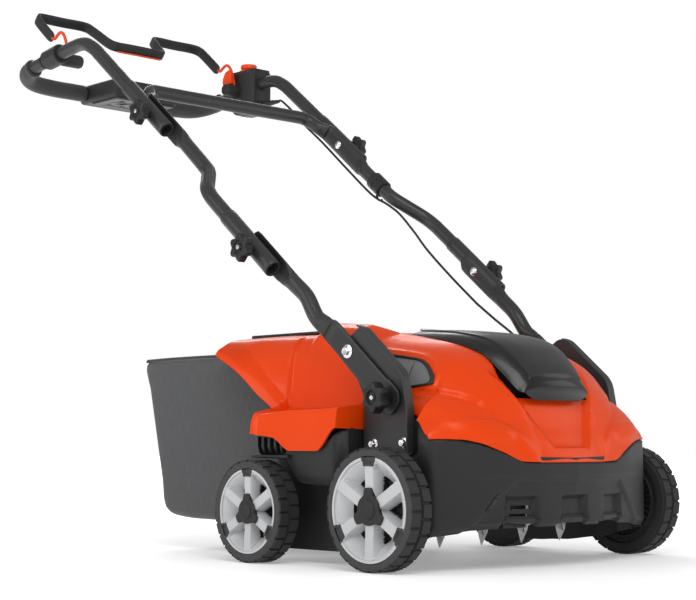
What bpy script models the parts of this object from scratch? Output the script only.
"""Battery lawn scarifier with a rear grass bag and a two-fold handle.

Run with: blender --background --python part.py
Metres, +Z up. The machine faces -Y, +X is its left side as the user walks behind it.
The origin is on the ground under the middle of the machine's outline. Lengths along Y below are
counted from the front axle, and the empty "machine" carries everything back to the origin.
"""

import math

import bmesh
import bpy
from mathutils import Matrix, Vector

FRONT_AXLE_Y = -0.48125
GAP = 0.0003

# Wheels
TRACK_HALF = 0.3133
WHEEL_WIDTH = 0.042
WHEEL_BASE = 0.2697
WHEEL_STEPS = 32
FRONT_WHEEL_R = 0.089
FRONT_RIM_R = 0.0764
REAR_WHEEL_R = 0.079
REAR_RIM_R = 0.0656
AXLE_R = 0.006

# Body
DECK_TOP = 0.168
SKIN = 0.003
REEL = Vector((0, 0.067, 0.090))
REEL_R = 0.067
BLADE_COUNT = 9
BLADE_PITCH = 0.0478
MOTOR = Vector((0, 0.030, 0.2095))
PULLEY_X = 0.2165
REEL_PULLEY_R = 0.030
MOTOR_PULLEY_R = 0.018
BELT_THICK = 0.004

# Handle: pivots as (y, z), half spacings along X
TUBE_R = 0.0125
SLEEVE_R = 0.0143
WALL = 0.0018
BRACKET_X = 0.232
PLATE = 0.003
TILT_PIVOT = (0.118, 0.322)
TILT_KNOB = (0.034, 0.250)
LOWER_JOINT = (0.305, 0.492)
UPPER_JOINT = (0.629, 0.762)
UPPER_BEND = (0.837, 0.932)
LOWER_X = 0.2667
UPPER_X = 0.2335
FLAT = 0.006
FLAT_WIDTH = 0.036
GRIP_Y, GRIP_Z = 1.073, 0.889
GRIP_R = 0.0165
BAIL_PIVOT = (0.940, 0.9155)
BAIL_X = 0.206

SIDES = {"left": 1, "right": -1}


# ---------------------------------------------------------------- helpers

def clear_scene():
    for obj in list(bpy.data.objects):
        bpy.data.objects.remove(obj, do_unlink=True)


def finish(name, colour, roughness, metallic=0.0):
    mat = bpy.data.materials.new(name)
    mat.use_nodes = True
    shader = mat.node_tree.nodes["Principled BSDF"]
    shader.inputs["Base Color"].default_value = (*colour, 1)
    shader.inputs["Roughness"].default_value = roughness
    shader.inputs["Metallic"].default_value = metallic
    return mat


def collection(name):
    made = bpy.data.collections.new(name)
    bpy.context.scene.collection.children.link(made)
    return made


def place(name, data, mat, at=(0, 0, 0), group=None):
    """A named node under the machine's empty."""
    obj = bpy.data.objects.new(name, data)
    if mat:
        data.materials.append(mat)
    obj.location = at
    obj.parent = MACHINE
    (group or PARTS).objects.link(obj)
    return obj


def solid(name, bm, mat, at=(0, 0, 0), group=None):
    bmesh.ops.recalc_face_normals(bm, faces=bm.faces)
    mesh = bpy.data.meshes.new(name)
    bm.to_mesh(mesh)
    bm.free()
    obj = place(name, mesh, mat, at, group)
    mesh.shade_smooth()
    mesh.set_sharp_from_angle(angle=math.radians(35))
    return obj


def loft(name, rings, mat, at=(0, 0, 0)):
    """A closed solid through rings of as many points each, with flat ends."""
    bm = bmesh.new()
    rows = [[bm.verts.new(Vector(p) - Vector(at)) for p in ring] for ring in rings]
    count = len(rows[0])
    for low, high in zip(rows, rows[1:]):
        for k in range(count):
            n = (k + 1) % count
            bm.faces.new((low[k], low[n], high[n], high[k]))
    bm.faces.new(rows[0][::-1])
    bm.faces.new(rows[-1])
    return solid(name, bm, mat, at)


def pipe(name, outer, inner, mat, at=(0, 0, 0)):
    """A hollow solid between two sets of rings, open at both ends."""
    bm = bmesh.new()
    rows = [[bm.verts.new(Vector(p) - Vector(at)) for p in ring_] for ring_ in outer + inner[::-1]]
    count = len(rows[0])
    for low, high in zip(rows, rows[1:] + rows[:1]):
        for k in range(count):
            n = (k + 1) % count
            bm.faces.new((low[k], low[n], high[n], high[k]))
    return solid(name, bm, mat, at)


def inside(rings, wall):
    """The same rings drawn in by the wall's thickness."""
    out = []
    for ring_ in rings:
        middle = sum(ring_, Vector()) / len(ring_)
        drawn = []
        for before, point, after in zip(ring_[-1:] + ring_[:-1], ring_, ring_[1:] + ring_[:1]):
            along = (after - before).normalized()
            outward = (point - middle) - along * (point - middle).dot(along)
            drawn.append(point - outward.normalized() * wall)
        out.append(drawn)
    return out


def skin(name, rows, thickness, mat, close_rows=False):
    """An open surface through rows of points, thickened towards its inner side."""
    bm = bmesh.new()
    grid = [[bm.verts.new(p) for p in row] for row in rows]
    for low, high in zip(grid, grid[1:]):
        for k in range(len(low) - (0 if close_rows else 1)):
            n = (k + 1) % len(low)
            bm.faces.new((low[k], low[n], high[n], high[k]))
    mesh = bpy.data.meshes.new(name)
    bm.to_mesh(mesh)
    bm.free()
    obj = place(name, mesh, mat)
    wall = obj.modifiers.new("wall", "SOLIDIFY")
    wall.thickness = thickness
    wall.offset = -1
    wall.use_even_offset = False
    return obj


def box(name, low, high, mat, bevel=0.0, group=None):
    low, high = Vector(low), Vector(high)
    bm = bmesh.new()
    bmesh.ops.create_cube(bm, size=1)
    bmesh.ops.scale(bm, vec=high - low, verts=bm.verts)
    obj = solid(name, bm, mat, (low + high) / 2, group)
    if bevel:
        edge = obj.modifiers.new("edge", "BEVEL")
        edge.width = bevel
        edge.segments = 2
    return obj


def cylinder_x(name, centre, radius, length, mat, steps=24, group=None):
    """A cylinder along X."""
    bm = bmesh.new()
    bmesh.ops.create_cone(bm, cap_ends=True, segments=steps, radius1=radius, radius2=radius,
                          depth=length, matrix=Matrix.Rotation(math.pi / 2, 4, "Y"))
    return solid(name, bm, mat, centre, group)


def turned(name, profile, mat, at, steps=32, outward=1):
    """A ring or disc turned about X: profile points are (radius, distance outwards along X)."""
    mesh = bpy.data.meshes.new(name)
    points = [(r, 0, a) for r, a in profile]
    edges = [(i, i + 1) for i in range(len(points) - 1)]
    if profile[0][0] > 0:
        edges.append((len(points) - 1, 0))
    mesh.from_pydata(points, edges, [])
    obj = place(name, mesh, mat, at)
    obj.rotation_euler = (0, outward * math.pi / 2, 0)
    lathe = obj.modifiers.new("lathe", "SCREW")
    lathe.steps = lathe.render_steps = steps
    lathe.use_merge_vertices = True
    lathe.merge_threshold = 0.00001
    return obj


def outline_x(name, outlines, thickness, mat, at, turn=0.0):
    """Flat outlines in the YZ plane, the first one outside and the rest holes, thick along X."""
    curve = bpy.data.curves.new(name, "CURVE")
    curve.dimensions = "2D"
    curve.fill_mode = "BOTH"
    curve.extrude = thickness / 2
    for outline in outlines:
        spline = curve.splines.new("POLY")
        spline.points.add(len(outline) - 1)
        for point, (y, z) in zip(spline.points, outline):
            point.co = (y, z, 0, 1)
        spline.use_cyclic_u = True
    obj = place(name, curve, mat, at)
    # local x, y, z go to the machine's y, z, x
    upright = Matrix(((0, 0, 1), (1, 0, 0), (0, 1, 0))).to_4x4()
    obj.rotation_euler = (Matrix.Rotation(turn, 4, "X") @ upright).to_euler()
    return obj


def cut(obj, cutter, operation="DIFFERENCE"):
    cutter.hide_render = True
    cutter.display_type = "WIRE"
    knife = obj.modifiers.new("cut", "BOOLEAN")
    knife.object = cutter
    knife.operation = operation
    knife.solver = "EXACT"


def cutter_box(name, low, high):
    return box(name, low, high, None, group=CUTTERS)


def tube(name, points, radius, mat, sides=2):
    """A round cord or wire through its points, with filled ends."""
    curve = bpy.data.curves.new(name, "CURVE")
    curve.dimensions = "3D"
    curve.bevel_depth = radius
    curve.bevel_resolution = sides
    curve.use_fill_caps = True
    spline = curve.splines.new("POLY")
    spline.points.add(len(points) - 1)
    for point, co in zip(spline.points, points):
        point.co = (*co, 1)
    return place(name, curve, mat)


def smooth_path(points, step):
    """Points about a step apart on a smooth curve through the given ones."""
    pts = [Vector(p) for p in points]
    pts = [2 * pts[0] - pts[1]] + pts + [2 * pts[-1] - pts[-2]]
    path = []
    for a, b, c, d in zip(pts, pts[1:], pts[2:], pts[3:]):
        parts = max(1, round((c - b).length / step))
        for k in range(parts):
            t = k / parts
            path.append(0.5 * (2 * b + (c - a) * t + (2 * a - 5 * b + 4 * c - d) * t ** 2
                               + (3 * b - a - 3 * c + d) * t ** 3))
    return path + [pts[-2]]


def ring(centre, along, wide, across, width, height, count=12, square=2.0):
    """An oval section: wide and across are unit vectors, square 2 is an ellipse."""
    points = []
    for k in range(count):
        angle = 2 * math.pi * (k + 0.5) / count
        c, s = math.cos(angle), math.sin(angle)
        c = math.copysign(abs(c) ** (2 / square), c)
        s = math.copysign(abs(s) ** (2 / square), s)
        points.append(centre + wide * (c * width / 2) + across * (s * height / 2))
    return points


def frames(path, hint=Vector((1, 0, 0))):
    """Each path point with its direction and two unit vectors square to it."""
    out = []
    for i, point in enumerate(path):
        along = (path[min(i + 1, len(path) - 1)] - path[max(i - 1, 0)]).normalized()
        across = (hint - along * hint.dot(along))
        if across.length < 0.2:
            across = out[-1][3] - along * out[-1][3].dot(along)
        across.normalize()
        if out and across.dot(out[-1][3]) < 0:
            across = -across
        out.append((point, along, along.cross(across).normalized(), across))
    return out


def on_line(start, end, distance):
    """The (y, z) point at a distance from start towards end."""
    a, b = Vector(start), Vector(end)
    return a + (b - a).normalized() * distance


def round_outline(radius, steps):
    return [(radius * math.cos(2 * math.pi * k / steps), radius * math.sin(2 * math.pi * k / steps))
            for k in range(steps)]


# ---------------------------------------------------------------- wheels

def wheel(name, y, radius, rim_r):
    for side, sign in SIDES.items():
        middle = (sign * (TRACK_HALF - WHEEL_WIDTH / 2), y, radius)
        half = WHEEL_WIDTH / 2
        inner = rim_r / math.cos(math.pi / WHEEL_STEPS) + GAP
        profile = [(inner, half), (radius - 0.004, half), (radius, half - 0.005), (radius, -half + 0.005),
                   (radius - 0.004, -half), (inner, -half)]
        turned(f"tyre_{name}_{side}", profile, TYRE, middle, WHEEL_STEPS, sign)
        rim(f"rim_{name}_{side}", sign, y, radius, rim_r)


def rim(name, sign, y, radius, rim_r):
    """Six spokes between six windows, with a hole that runs on the axle."""
    circle = round_outline(rim_r, WHEEL_STEPS)
    bore = round_outline(AXLE_R + 0.0005, 12)
    windows = []
    for spoke in range(6):
        middle = math.radians(60 * spoke)
        corner, spread = 0.36 * rim_r, math.radians(16)
        far = 0.80 * rim_r
        windows.append([(corner * math.cos(middle), corner * math.sin(middle)),
                        (far * math.cos(middle + spread), far * math.sin(middle + spread)),
                        (far * math.cos(middle - spread), far * math.sin(middle - spread))])
    return outline_x(name, [circle, bore] + windows, 0.030, RIM,
                     (sign * (TRACK_HALF - WHEEL_WIDTH / 2), y, radius))


def axles():
    reach = TRACK_HALF - 0.004
    for side, sign in SIDES.items():
        inner = 0.2312
        cylinder_x(f"front_axle_{side}", (sign * (inner + reach) / 2, 0, FRONT_WHEEL_R), AXLE_R, reach - inner,
                   STEEL, 16)
    cylinder_x("rear_axle", (0, WHEEL_BASE, REAR_WHEEL_R), AXLE_R, 2 * reach, STEEL, 16)


# ---------------------------------------------------------------- body

def mirrored(half, y_middle, bow, x_ref=0.25):
    """A full cross row from its right half: (x, z) points from the middle outwards, bowed back in plan."""
    right = [Vector((x, y_middle + bow * (x / x_ref) ** 2, z)) for x, z in half]
    left = [Vector((-p.x, p.y, p.z)) for p in right[:0:-1]]
    return left + right


HOOD_X_NOSE = (0, .06, .105, .145, .180, .208, .231, .245, .251)
HOOD_X_WAIST = (0, .06, .105, .145, .178, .198, .212, .2262, .2262)
HOOD_X_SHELF = (0, .06, .105, .145, .178, .197, .212, .280, .2865)
HOOD_X_TAIL = (0, .06, .105, .145, .182, .201, .212, .220, .222)
HOOD_STATIONS = (
    (-.128, .066, HOOD_X_NOSE, (.156, .156, .157, .172, .184, .189, .190, .190, .190)),
    (-.121, .064, HOOD_X_NOSE, (.180, .180, .182, .193, .201, .204, .203, .200, .196)),
    (-.104, .056, HOOD_X_NOSE, (.216, .216, .216, .219, .221, .219, .213, .206, .198)),
    (-.085, .046, HOOD_X_NOSE, (.262, .261, .257, .250, .241, .231, .219, .208, .199)),
    (-.055, .028, HOOD_X_NOSE, (.297, .296, .291, .281, .264, .246, .228, .212, .200)),
    (-.020, .004, HOOD_X_WAIST, (.326, .325, .319, .308, .288, .262, .244, .224, .200)),
    (.030, 0, HOOD_X_WAIST, (.344, .343, .338, .328, .308, .280, .254, .232, .202)),
    (.092, 0, HOOD_X_WAIST, (.355, .354, .350, .341, .325, .296, .262, .236, .204)),
    (.098, 0, HOOD_X_SHELF, (.356, .355, .351, .342, .326, .296, .242, .236, .206)),
    (.140, 0, HOOD_X_SHELF, (.360, .359, .357, .350, .336, .304, .240, .234, .172)),
    (.200, 0, HOOD_X_SHELF, (.364, .363, .361, .356, .344, .314, .239, .233, .172)),
    (.240, 0, HOOD_X_SHELF, (.366, .365, .363, .359, .348, .318, .239, .231, .192)),
    (.288, 0, HOOD_X_SHELF, (.367, .366, .364, .360, .351, .322, .238, .228, .198)),
    (.294, 0, HOOD_X_TAIL, (.367, .366, .364, .360, .351, .322, .260, .236, .222)),
    (.345, 0, HOOD_X_TAIL, (.367, .366, .364, .361, .352, .324, .296, .276, .262)),
    (.400, 0, HOOD_X_TAIL, (.366, .365, .364, .361, .354, .336, .320, .308, .300)),
    (.452, 0, HOOD_X_TAIL, (.364, .363, .362, .360, .355, .346, .338, .332, .326)),
)


def hood():
    """Orange cover: nose, battery bay, two side shelves over the rear wheels and two rear cheeks."""
    rows = [mirrored(list(zip(xs, zs)), y, bow) for y, bow, xs, zs in HOOD_STATIONS]
    made = skin("hood", rows, SKIN, ORANGE)
    bay = [(x + .0015 * (1 if x > 0 else -1), y) for x, y in lid_plan()]
    cut(made, prism("battery_bay_cut", bay, .2475, .45))
    cut(made, cutter_box("flap_cut", (-.152, .262, .330), (.152, .500, .450)))
    return made


def deck():
    """Lower housing: nose, side walls, top plate over the reel and an open bottom."""
    def row(y, bow, outer, top, bottom, rise):
        """Half section from the middle of the plate out to the shoulder and down the wall."""
        shoulder = min(.188, outer - .04)
        half = [(0, top), (.11, top), (shoulder, top), (shoulder + .006, top + rise), (outer - .005, top + rise),
                (outer, top + rise - .006), (outer + .0005, (top + bottom) / 2), (outer, bottom)]
        return mirrored(half, y, bow)

    rows = [mirrored([(0, .056), (.11, .056), (.188, .058), (.194, .060), (.2445, .060), (.2495, .061), (.2498, .062),
                      (.250, .063)], -.122, .068)]
    for y, bow, outer, top, bottom, rise in (
        (-.1285, .066, .2495, .1495, .061, .032), (-.121, .062, .2495, .1520, .058, .033),
        (-.100, .050, .2495, DECK_TOP, .050, .026), (-.058, .030, .2490, DECK_TOP, .042, .028),
        (-.026, .004, .2300, DECK_TOP, .036, .028), (.020, 0, .2300, DECK_TOP, .030, .028),
        (.094, 0, .2300, DECK_TOP, .022, .028), (.150, 0, .2350, DECK_TOP, .020, .024),
        (.230, 0, .2350, DECK_TOP, .020, .024), (.288, 0, .2350, DECK_TOP + .008, .020, .018),
    ):
        rows.append(row(y, bow, outer, top, bottom, rise))
    rows.append([p + Vector((0, .004, 0)) for p in rows[-1]])
    made = skin("deck_shell", rows, SKIN, HOUSING)
    cut(made, cutter_box("belt_slot_cut", (.2085, .005, .14), (.2262, .110, .30)))
    cut(made, cylinder_x("rear_axle_cut", (0, WHEEL_BASE, REAR_WHEEL_R), AXLE_R + .0006, .6, None, 16, CUTTERS))


def reel():
    """Nine two-armed blades on a shaft in two bearings, driven from its left end."""
    shaft_right, shaft_left = -.2240, PULLEY_X + .0050
    cylinder_x("reel_shaft", ((shaft_right + shaft_left) / 2, REEL.y, REEL.z), .0095, shaft_left - shaft_right,
               STEEL, 16)
    bore = round_outline(.0099, 16)
    for i in range(BLADE_COUNT):
        turn = 0 if i % 2 == 0 else math.pi / 4
        x = (i - (BLADE_COUNT - 1) / 2) * BLADE_PITCH
        outline_x(f"blade_{i + 1}", [blade_outline(), bore], .002, STEEL, (x, REEL.y, REEL.z), turn)
    for side, sign in SIDES.items():
        inner, outer = .1965, (.2100 if sign > 0 else .2264)
        plate = box(f"bearing_{side}", (min(sign * inner, sign * outer), REEL.y - .026, REEL.z - .024),
                    (max(sign * inner, sign * outer), REEL.y + .026, DECK_TOP + .028 - SKIN - .0012), CASTING, .004)
        hole = cylinder_x(f"bearing_{side}_cut", (sign * .2, REEL.y, REEL.z), .0099, .1, None, 16, CUTTERS)
        cut(plate, hole)
    pulley("reel_pulley", REEL, REEL_PULLEY_R, .0098)
    pulley("motor_pulley", MOTOR, MOTOR_PULLEY_R, .0053)
    belt()


def blade_outline():
    """Four pointed teeth round a hub."""
    points = []
    for arm in range(4):
        base = math.pi / 2 * arm - math.pi / 2
        for radius, swing in ((.030, -.60), (.048, -.25), (REEL_R, 0.0), (.050, .12), (.030, .30)):
            points.append((radius * math.cos(base + swing), radius * math.sin(base + swing)))
    return points


def pulley(name, centre, radius, bore):
    half = .0050
    profile = [(bore, half), (radius, half), (radius, -half), (bore, -half)]
    turned(name, profile, CASTING, (PULLEY_X, centre.y, centre.z), 24)


def belt():
    """Flat belt round both pulleys."""
    line = Vector((MOTOR.y - REEL.y, MOTOR.z - REEL.z))
    reach = line.length
    heading = math.atan2(line.y, line.x)
    lean = math.acos((REEL_PULLEY_R - MOTOR_PULLEY_R) / reach)

    def loop(extra):
        points = []
        for centre, radius, start, sweep in ((REEL, REEL_PULLEY_R, heading + lean, 2 * math.pi - 2 * lean),
                                             (MOTOR, MOTOR_PULLEY_R, heading - lean, 2 * lean)):
            for k in range(17):
                angle = start + sweep * k / 16
                points.append((centre.y - REEL.y + (radius + extra) * math.cos(angle),
                               centre.z - REEL.z + (radius + extra) * math.sin(angle)))
        return points

    outline_x("drive_belt", [loop(BELT_THICK), loop(.0008)], .008, RUBBER, (PULLEY_X, REEL.y, REEL.z))


def motor():
    """Motor can with its shaft end towards the pulley."""
    can = cylinder_x("motor", (.1300, MOTOR.y, MOTOR.z), .040, .110, CASTING, 28)
    stub = cylinder_x("motor_stub", (.2010, MOTOR.y, MOTOR.z), .0050, .043, None, 16, CUTTERS)
    cut(can, stub, "UNION")


LID_ROWS = ((-.0930, .060, .2495), (-.0970, .066, .2550), (-.0985, .074, .2680), (-.090, .080, .2890),
            (-.071, .085, .3110), (-.042, .091, .3340), (0, .098, .3500), (.055, .103, .3585), (.118, .105, .3620))


def lid_plan():
    """Outline of the lid seen from above."""
    right = [(width, y) for y, width, _ in LID_ROWS[2:]]
    return [(.073, -.140)] + right + [(.105, .1215)] + [(-.105, .1215)] + [(-x, y) for x, y in right[::-1]] + [(-.073, -.140)]


def prism(name, outline, low, high):
    """A cutter with an outline in plan."""
    bm = bmesh.new()
    rows = [[bm.verts.new((x, y, z)) for x, y in outline] for z in (low, high)]
    for k in range(len(outline)):
        n = (k + 1) % len(outline)
        bm.faces.new((rows[0][k], rows[0][n], rows[1][n], rows[1][k]))
    bm.faces.new(rows[0][::-1])
    bm.faces.new(rows[1])
    return solid(name, bm, None, group=CUTTERS)


def hood_height(x, y):
    """Height of the hood's surface over a point near the lid."""
    def on_station(station):
        z_of = list(zip(station[2], station[3]))
        for (x0, z0), (x1, z1) in zip(z_of, z_of[1:]):
            if x0 <= x <= x1:
                return station[0] + station[1] * (x / .25) ** 2, z0 + (z1 - z0) * (x - x0) / (x1 - x0)
    rows = [on_station(station) for station in HOOD_STATIONS]
    for (y0, z0), (y1, z1) in zip(rows, rows[1:]):
        if y0 <= y <= y1:
            return z0 + (z1 - z0) * (y - y0) / (y1 - y0)
    return rows[0][1]


def battery_lid():
    """Domed lid over the battery bay, on a pin at its rear edge."""
    rows = []
    for y, width, z in LID_ROWS:
        bow = .020 * min(1, max(0, -y / .09)) if y < 0 else 0
        edge = max(z - .024, hood_height(width, y + bow * .6)) if y > -.094 else z
        half = [(0, z), (.38 * width, z - (z - edge) * .02), (.68 * width, z - (z - edge) * .14),
                (.84 * width, z - (z - edge) * .36), (.95 * width, z - (z - edge) * .72), (width, edge)]
        rows.append(mirrored(half, y, bow, .11))
    skin("battery_lid", rows, .0028, LID)
    cylinder_x("lid_pin", (0, .1245, .3625), .0022, .150, STEEL, 12)


def battery():
    box("battery_pack", (-.068, -.052, .206), (.068, .098, .300), BATTERY, .006)


def rear_flap():
    """Hinged cover over the mouth of the bag."""
    box("rear_flap", (-.1505, .2670, .3590), (.1505, .4540, .3650), HOUSING, .0015)
    cylinder_x("flap_pin", (0, .2640, .3660), .0018, .290, STEEL, 12)


def bag():
    """Fabric bag with an open mouth behind the deck, held by a frame."""
    rows = []
    for y_top, y_bottom, half, top, bottom, in_ in (
        (.3240, .3240, .168, .318, .075, 0), (.3600, .3500, .184, .326, .056, 0), (.4800, .4600, .187, .332, .051, 0),
        (.6200, .5800, .187, .332, .052, 0), (.7020, .6420, .184, .331, .060, 0), (.7130, .6520, .172, .322, .072, 0),
        (.7150, .6560, .120, .310, .090, 0),
    ):
        corners = ((-half, bottom, .92), (-half, bottom + .02, 1), (-half, top - .02, 1), (-half, top, .92),
                   (0, top + .002, 1), (half, top, .92), (half, top - .02, 1), (half, bottom + .02, 1),
                   (half, bottom, .92), (0, bottom - .002, 1))
        rows.append([Vector((x * k, y_bottom + (y_top - y_bottom) * (z - bottom) / (top - bottom), z))
                     for x, z, k in corners])
    rows.append([p * 1 for p in [Vector((v.x * .3, v.y + .0005, .20 + (v.z - .20) * .3)) for v in rows[-1]]])
    bm = bmesh.new()
    grid = [[bm.verts.new(p) for p in row] for row in rows]
    for low, high in zip(grid, grid[1:]):
        for k in range(10):
            n = (k + 1) % 10
            bm.faces.new((low[k], high[k], high[n], low[n]))
    bm.faces.new(grid[-1][::-1])
    bmesh.ops.recalc_face_normals(bm, faces=bm.faces)
    mesh = bpy.data.meshes.new("bag")
    bm.to_mesh(mesh)
    bm.free()
    made = place("bag", mesh, FABRIC)
    wall = made.modifiers.new("wall", "SOLIDIFY")
    wall.thickness = .003
    wall.offset = -1

    def loop(inset):
        return [(-.166 + inset, .078 + inset), (-.166 + inset, .314 - inset), (.166 - inset, .314 - inset),
                (.166 - inset, .078 + inset)]
    frame = bpy.data.curves.new("bag_frame", "CURVE")
    frame.dimensions = "2D"
    frame.fill_mode = "BOTH"
    frame.extrude = .004
    for outline in (loop(0), loop(.010)):
        spline = frame.splines.new("POLY")
        spline.points.add(3)
        for point, (x, z) in zip(spline.points, outline):
            point.co = (x, z, 0, 1)
        spline.use_cyclic_u = True
    obj = place("bag_frame", frame, HOUSING, (0, .3185, 0))
    obj.rotation_euler = (math.pi / 2, 0, 0)


# ---------------------------------------------------------------- handle

def brackets():
    """Steel plates on the deck's sides, each with a flange along its front edge."""
    front = [(-.014, .166), (-.014, .233), (-.004, .286), (.080, .357)]
    back = [(.098, .360), (.134, .336), (.0890, .252), (.0890, .166)]
    for side, sign in SIDES.items():
        bm = bmesh.new()
        verts = [bm.verts.new((sign * BRACKET_X, y, z)) for y, z in front + back]
        bm.faces.new(verts)
        bm.edges.ensure_lookup_table()
        fold = [e for e in bm.edges if all(v in verts[1:len(front)] for v in e.verts)]
        wing = bmesh.ops.extrude_edge_only(bm, edges=fold)
        for v in (g for g in wing["geom"] if isinstance(g, bmesh.types.BMVert)):
            v.co.x += sign * .015
        bmesh.ops.recalc_face_normals(bm, faces=bm.faces)
        plate = next(f for f in bm.faces if len(f.verts) == len(verts))
        if plate.normal.x * sign < 0:
            bmesh.ops.reverse_faces(bm, faces=bm.faces)
        mesh = bpy.data.meshes.new(f"handle_bracket_{side}")
        bm.to_mesh(mesh)
        bm.free()
        obj = place(f"handle_bracket_{side}", mesh, FRAME)
        wall = obj.modifiers.new("wall", "SOLIDIFY")
        wall.thickness = PLATE
        wall.offset = 1


def arm(points, sign, count=12):
    """Rings along an arm. Each point is (|x|, y, z, width in the YZ plane, thickness along X)."""
    path = [Vector((sign * p[0], p[1], p[2])) for p in points]
    rings = []
    for (point, along, wide, across), (_, _, _, width, thick) in zip(frames(path), points):
        rings.append(ring(point, along, wide, across, width, thick, count, 2.0 if thick > .02 else 3.2))
    return rings


def lower_tubes():
    """From the bracket to the lower joint, both ends pressed flat."""
    flat_x = BRACKET_X + PLATE + GAP + FLAT / 2
    joint_x = LOWER_X - SLEEVE_R - GAP - FLAT / 2
    slope = (Vector(TILT_PIVOT) - Vector(TILT_KNOB)).normalized()
    heading = (Vector(UPPER_JOINT) - Vector(LOWER_JOINT)).normalized()
    knob, joint = Vector(TILT_KNOB), Vector(LOWER_JOINT)
    for side, sign in SIDES.items():
        pts = []
        for distance, width in ((-.0235, .014), (-.019, .030), (-.008, .044), (.012, .046), (.035, .040), (.150, .038)):
            p = knob + slope * distance
            pts.append((flat_x, p.x, p.y, width, FLAT))
        for distance, x, width, thick in ((.172, flat_x + .0040, .031, .014), (.198, flat_x + .0078, .0255, .0238)):
            p = knob + slope * distance
            pts.append((x, p.x, p.y, width, thick))
        for distance, x, width, thick in (
            (-.130, joint_x - .004, 2 * TUBE_R, 2 * TUBE_R), (-.092, joint_x - .001, .0262, .0225),
            (-.068, joint_x, .033, .009), (-.050, joint_x, FLAT_WIDTH, FLAT), (.022, joint_x, FLAT_WIDTH, FLAT),
            (.032, joint_x, .028, FLAT), (.037, joint_x, .014, FLAT),
        ):
            p = joint + heading * distance
            pts.append((x, p.x, p.y, width, thick))
        rings = arm(pts, sign)
        pipe(f"lower_tube_{side}", rings, inside(rings, WALL), FRAME, (sign * flat_x, *TILT_PIVOT))


def mid_handle():
    """U-shaped middle section: sleeved at the lower joint, S-bent, pressed flat at the upper joint."""
    joint, top = Vector(LOWER_JOINT), Vector(UPPER_JOINT)
    line = (top - joint).normalized()
    narrow = UPPER_X - TUBE_R - .0035
    flat_x = UPPER_X - SLEEVE_R - GAP - FLAT / 2
    round_, sleeve = 2 * TUBE_R, 2 * SLEEVE_R
    stations = [(-.056, LOWER_X, sleeve, sleeve), (.092, LOWER_X, sleeve, sleeve), (.0925, LOWER_X, round_, round_),
                (.150, LOWER_X, round_, round_), (.170, LOWER_X - .004, round_, round_),
                (.190, (LOWER_X + narrow) / 2, round_, round_), (.212, narrow + .004, round_, round_),
                (.235, narrow, round_, round_)]
    length = (top - joint).length
    stations += [(length - .095, narrow - .001, .0262, .0225), (length - .078, flat_x, .033, .009),
                 (length - .064, flat_x, FLAT_WIDTH, FLAT), (length + .034, flat_x, FLAT_WIDTH, FLAT),
                 (length + .046, flat_x - .004, .031, .014), (length + .060, .2035, .0262, .0225)]
    bend = [(.074, .1990), (.084, .1920), (.090, .1830), (.092, .1700)]

    def half(sign):
        pts = []
        for distance, x, width, thick in stations:
            p = joint + line * distance
            pts.append((x, p.x, p.y, width, thick))
        return arm(pts, sign, 12)

    right = half(-1)
    left = half(1)
    corner = []
    for sign in (-1, 1):
        pts = []
        for distance, x in bend:
            p = top + line * distance
            pts.append(Vector((sign * x, p.x, p.y)))
        corner.append(pts)
    path = [Vector((-.2035, *(top + line * .060)))] + corner[0] + corner[1][::-1] + [Vector((.2035, *(top + line * .060)))]
    rings = right[:-1]
    bridge = []
    for point, along, wide, across in frames(path, Vector((1, 0, 0))):
        bridge.append((point, along))
    normal = Vector((0, -line.y, line.x))
    for point, along in bridge:
        across = along.cross(normal).normalized()
        rings.append(ring(point, along, normal, across, round_, round_, 12))
    rings = align(rings + left[::-1][1:])
    pipe("mid_handle", rings, inside(rings, WALL), FRAME, (0, *LOWER_JOINT))


def align(rings):
    """Rings turned and ordered so that each one's points face those of the one before."""
    out = [rings[0]]
    for ring_ in rings[1:]:
        best = None
        for candidate in (ring_, ring_[::-1]):
            for shift in range(len(ring_)):
                turned_ = candidate[shift:] + candidate[:shift]
                cost = sum((a - b).length_squared for a, b in zip(out[-1], turned_))
                if best is None or cost < best[0]:
                    best = (cost, turned_)
        out.append(best[1])
    return out


def upper_line(distance):
    p = on_line(UPPER_JOINT, UPPER_BEND, distance)
    return p.x, p.y


def upper_handle():
    """Two arms with a bend and a rear bar. The grips sit on it as separate rubber tubes."""
    reach = (Vector(UPPER_BEND) - Vector(UPPER_JOINT)).length
    arm_pts = [(-.055, SLEEVE_R), (.095, SLEEVE_R), (.0955, TUBE_R), (reach - .045, TUBE_R)]
    half = [(UPPER_X, *upper_line(d)) for d, _ in arm_pts]
    radii = [r for _, r in arm_pts]
    for y, z in ((.8180, .9145), (.8370, .9240), (.8600, .9275), (.8900, .9250)):
        half.append((UPPER_X, y, z))
        radii.append(TUBE_R)
    for x, y, z in ((UPPER_X, 1.0100, .9100), (.2310, 1.0400, .9035), (.2160, 1.0620, .8970), (.1900, 1.0720, .8915),
                    (.1500, GRIP_Y, GRIP_Z)):
        half.append((x, y, z))
        radii.append(TUBE_R)
    right = [Vector((-x, y, z)) for x, y, z in half]
    left = [Vector((x, y, z)) for x, y, z in half]
    path = right + left[::-1]
    size = [(2 * r, 2 * r) for r in radii + radii[::-1]]
    rings = tube_rings(path, size)
    pipe("upper_handle", rings, inside(rings, WALL), FRAME, (0, *UPPER_JOINT))
    for side, sign in SIDES.items():
        grip(side, sign)
    console()
    switch_box()
    collar()


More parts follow.
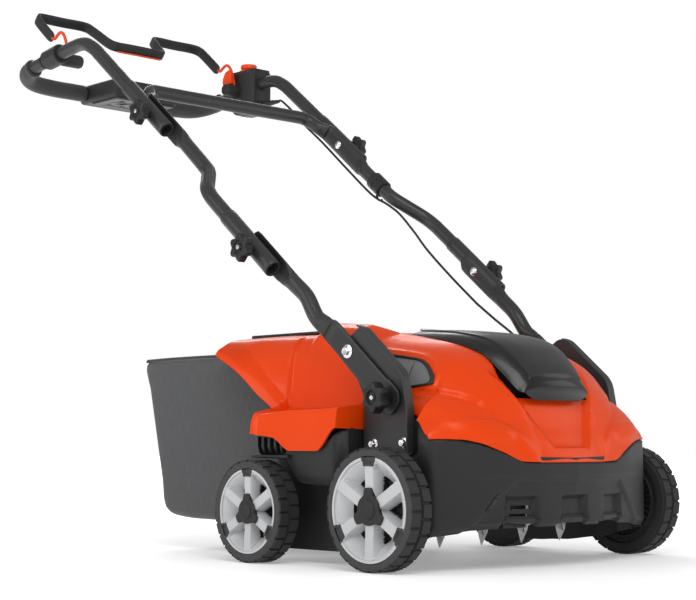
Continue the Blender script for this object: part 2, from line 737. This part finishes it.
def tube_rings(path, size, count=12):
    """Rings along a path that turns a corner, without twist."""
    rings, wide = [], None
    for i, point in enumerate(path):
        along = (path[min(i + 1, len(path) - 1)] - path[max(i - 1, 0)]).normalized()
        if wide is None:
            wide = Vector((1, 0, 0))
        wide = (wide - along * wide.dot(along)).normalized()
        across = along.cross(wide)
        rings.append(ring(point, along, wide, across, *size[i], count))
    return rings


def grip(side, sign):
    """Rubber grip round the corner of the rear bar, hollow for the tube."""
    path = [Vector((sign * x, y, z)) for x, y, z in
            ((.2333, 1.0160, .9087), (.2310, 1.0400, .9035), (.2160, 1.0620, .8970), (.1900, 1.0720, .8915),
             (.1500, GRIP_Y, GRIP_Z), (.0800, GRIP_Y, GRIP_Z))]
    outer = tube_rings(path, [(2 * GRIP_R, 2 * GRIP_R)] * len(path), 12)
    inner = tube_rings(path, [(2 * TUBE_R + .0012, 2 * TUBE_R + .0012)] * len(path), 12)
    pipe(f"grip_{side}", outer, inner, RUBBER)


def console():
    """Tray in front of the rear bar, between the grips, wrapped round the bar."""
    made = box("console", (-.078, .9650, .8690), (.078, 1.0910, .9060), HOUSING, .008)
    cut(made, cylinder_x("console_bar_cut", (0, GRIP_Y, GRIP_Z), TUBE_R + .0005, .3, None, 24, CUTTERS))
    cut(made, cutter_box("console_tray_cut", (-.066, .9740, .8800), (.066, 1.0560, .9300)))


def arm_z(y):
    """Height of an arm's axis behind the bend."""
    return .9250 - (y - .8900) * .125


def arm_hole(name, x, y):
    """Cutter along an arm, for the fittings clamped round it."""
    hole = cylinder_y(name, (x, y, arm_z(y)), TUBE_R + .0006, .2, None, CUTTERS)
    hole.rotation_euler = (-math.atan(.125), 0, 0)
    return hole


def bail_seat(obj, name, sign):
    """A short boss towards the middle with a slot for the bail's wire."""
    y, z = BAIL_PIVOT
    cut(obj, cylinder_x(f"{name}_boss", (sign * .1995, y, z), .0125, .043, None, 20, CUTTERS), "UNION")
    cut(obj, cutter_box(f"{name}_slot", (sign * BAIL_X - .0042, y - .030, z - .0065),
                        (sign * BAIL_X + .0042, y + .030, z + .030)))


def switch_box():
    """Switch housing round the left arm, with the cable gland on its front."""
    made = box("switch_box", (.2120, .8850, .8650), (.2600, .9700, .9560), HOUSING, .007)
    bail_seat(made, "switch_box", 1)
    cut(made, arm_hole("switch_arm_cut", UPPER_X, .93))
    cut(made, cylinder_y("gland", (.2335, .8600, .8830), .0055, .060, None, CUTTERS), "UNION")
    cut(made, cylinder_z("button_cut", (.2335, .9270, .9620), .0172, .0160, None, CUTTERS))
    cylinder_z("start_button", (.2335, .9270, .9655), .0165, .0150)
    box("lock_lever", (.1925, .9380, .9300), (.2005, .9640, .9560), ORANGE, .002)


def cylinder_y(name, centre, radius, length, mat, group=None):
    bm = bmesh.new()
    bmesh.ops.create_cone(bm, cap_ends=True, segments=16, radius1=radius, radius2=radius, depth=length,
                          matrix=Matrix.Rotation(math.pi / 2, 4, "X"))
    return solid(name, bm, mat, centre, group)


def cylinder_z(name, centre, radius, length, mat=None, group=None):
    bm = bmesh.new()
    bmesh.ops.create_cone(bm, cap_ends=True, segments=24, radius1=radius, radius2=radius, depth=length)
    return solid(name, bm, mat or (None if group else ORANGE), centre, group)


def collar():
    """Clamp on the right arm that carries the bail's other end."""
    y = .9450
    made = cylinder_y("bail_collar", (-UPPER_X, y, arm_z(y)), .0190, .046, HOUSING)
    bail_seat(made, "bail_collar", -1)
    cut(made, arm_hole("collar_arm_cut", -UPPER_X, y))


def bail():
    """Start bail: a wire at each end carries a flat bar above the rear bar, dipping in the middle."""
    wire = [(BAIL_X, *BAIL_PIVOT), (BAIL_X, .9430, .9350), (BAIL_X, .9480, .9520), (BAIL_X, .9570, .9690),
            (BAIL_X, .9680, .9750), (BAIL_X, .9790, .9710), (BAIL_X, .9880, .9660)]
    bar = [(BAIL_X, .9960, .9690), (BAIL_X, 1.0030, .9740), (BAIL_X, 1.0420, 1.0070), (.2020, 1.0560, 1.0190),
           (.1880, 1.0630, 1.0240), (.1400, 1.0640, 1.0240), (.0880, 1.0630, 1.0240), (.0760, 1.0480, 1.0130),
           (.0660, 1.0080, .9840), (.0540, .9950, .9765), (.0300, .9960, .9770), (0, .9970, .9775)]
    half = wire + bar
    size = [(.006, .006)] * len(wire) + [(.007, .009)] + [(.008, .020)] * (len(bar) - 1)
    path = [Vector((-x, y, z)) for x, y, z in half] + [Vector((x, y, z)) for x, y, z in half[-2::-1]]
    loft("bail", tube_rings(path, size + size[-2::-1], 10), HOUSING, (0, *BAIL_PIVOT))


def knobs():
    """Six-lobed clamp knobs: two at the brackets, two at each folding joint."""
    for side, sign in SIDES.items():
        bracket_face = BRACKET_X + PLATE + 2 * GAP + FLAT
        for name, where, start, depth in (("tilt", TILT_KNOB, bracket_face + .001, .031),
                                          ("lower", LOWER_JOINT, LOWER_X + SLEEVE_R + .001, .022),
                                          ("upper", UPPER_JOINT, UPPER_X + SLEEVE_R + .001, .022)):
            lobes = []
            for k in range(36):
                angle = 2 * math.pi * k / 36
                radius = .0205 + .0030 * math.cos(6 * angle)
                lobes.append((radius * math.cos(angle), radius * math.sin(angle)))
            outline_x(f"knob_{name}_{side}", [lobes], depth, KNOB, (sign * (start + depth / 2), *where))


# ---------------------------------------------------------------- cable

CABLE_R = 0.0021
CABLE_UPPER = [(.2335, .8292, .8826), (.2337, .8200, .8800), (.2345, .7850, .8520), (.2350, .7480, .8180),
               (.2310, .6940, .7770), (.2240, .6260, .7230), (.2195, .5580, .6680), (.2180, .5280, .6470),
               (.2180, .5060, .6360)]
CABLE_MIDDLE = [(.2180, .5060, .6360), (.2200, .4900, .6260), (.2240, .4700, .6100), (.2310, .4400, .5750),
                (.2350, .4080, .5370), (.2360, .3490, .4830), (.2340, .2860, .4315)]
CABLE_LOWER = [(.2340, .2860, .4315), (.2250, .2350, .4000), (.2080, .1850, .3750), (.1880, .1520, .3600),
               (.1720, .1360, .3510)]


def cable():
    """Control cable in three runs, one across each joint of the handle, and its clip."""
    for name, route in (("cable_upper", CABLE_UPPER), ("cable_middle", CABLE_MIDDLE), ("cable_lower", CABLE_LOWER)):
        points = smooth_path(route, .011)
        nudge = (points[1] - points[0]).normalized() * GAP
        points[0] = points[0] + nudge
        tube(name, points, CABLE_R, CABLE)
    seat = on_line(LOWER_JOINT, UPPER_JOINT, .280)
    middle = (UPPER_X - TUBE_R - .0035, seat.x, seat.y)
    clip = cylinder_y("cable_clip", middle, .0165, .036, KNOB)
    bore = cylinder_y("clip_cut", middle, TUBE_R + .0010, .2, None, CUTTERS)
    for obj in (clip, bore):
        obj.rotation_euler = (math.atan2(UPPER_JOINT[1] - LOWER_JOINT[1], UPPER_JOINT[0] - LOWER_JOINT[0]), 0, 0)
    cut(clip, bore)


# ---------------------------------------------------------------- the machine

clear_scene()
PARTS = collection("scarifier")
CUTTERS = collection("cutters")
MACHINE = bpy.data.objects.new("machine", None)
MACHINE.location = (0, FRONT_AXLE_Y, 0)
PARTS.objects.link(MACHINE)

ORANGE = finish("orange_plastic", (.90, .13, .005), .28)
HOUSING = finish("grey_plastic", (.055, .057, .060), .48)
LID = finish("smoked_lid", (.030, .031, .033), .30)
FRAME = finish("coated_steel", (.085, .087, .090), .42, .2)
STEEL = finish("zinc_steel", (.62, .63, .65), .30, 1.0)
CASTING = finish("cast_alloy", (.35, .36, .37), .50, .9)
TYRE = finish("tyre_rubber", (.020, .020, .021), .75)
RUBBER = finish("grip_rubber", (.025, .025, .026), .80)
RIM = finish("silver_plastic", (.55, .56, .57), .35, .2)
KNOB = finish("black_plastic", (.020, .020, .021), .50)
BATTERY = finish("battery_case", (.040, .040, .042), .55)
FABRIC = finish("bag_fabric", (.060, .062, .064), .95)
CABLE = finish("cable_jacket", (.015, .015, .016), .50)

wheel("front", 0, FRONT_WHEEL_R, FRONT_RIM_R)
wheel("rear", WHEEL_BASE, REAR_WHEEL_R, REAR_RIM_R)
axles()
hood()
deck()
motor()
reel()
battery_lid()
battery()
rear_flap()
bag()
brackets()
lower_tubes()
mid_handle()
upper_handle()
bail()
knobs()
cable()
